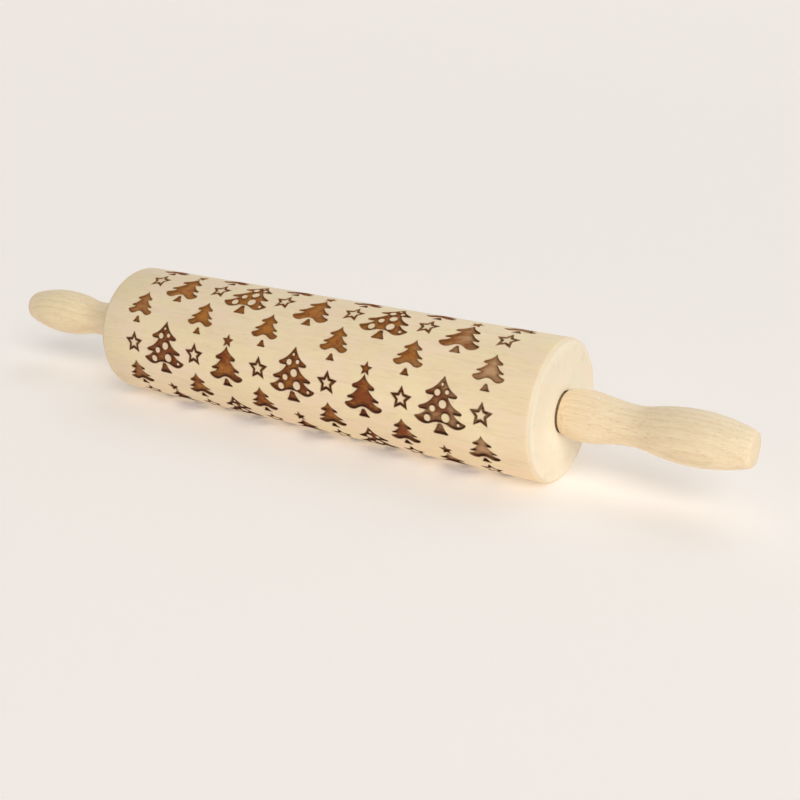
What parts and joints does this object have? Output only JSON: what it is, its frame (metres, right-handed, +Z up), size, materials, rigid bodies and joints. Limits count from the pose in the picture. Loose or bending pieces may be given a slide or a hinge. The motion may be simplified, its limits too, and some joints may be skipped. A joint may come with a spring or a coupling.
{
  "type": "embossed rolling pin",
  "caption": "Engraved wooden rolling pin: a thick barrel carved with fir trees and stars turns freely between two turned wooden grips.",
  "frame": {"origin": "under the middle of the pin, on the surface that the barrel lies on", "axes": "+X along the pin towards handle_right, +Z up, -Y towards the side that the carved trees stand up on"},
  "size_m": [0.387, 0.06, 0.06],
  "materials": {
    "pale_wood": "bare, finely sanded, with the engraved pattern scorched brown",
    "beech_wood": "bare, finely sanded",
    "dowel_wood": "bare",
    "white_nylon": "satin"
  },
  "bodies": {
    "handles": {"handle_left": "beech_wood", "handle_right": "beech_wood", "axle_rod": "dowel_wood"},
    "barrel": {"roller_barrel": "pale_wood", "bush_left": "white_nylon", "bush_right": "white_nylon"}
  },
  "joints": [
    {"name": "barrel_spin", "type": "hinge", "parent": "handles", "child": "barrel", "pos_m": [0, 0, 0.03], "axis": [1, 0, 0], "continuous": true}
  ]
}
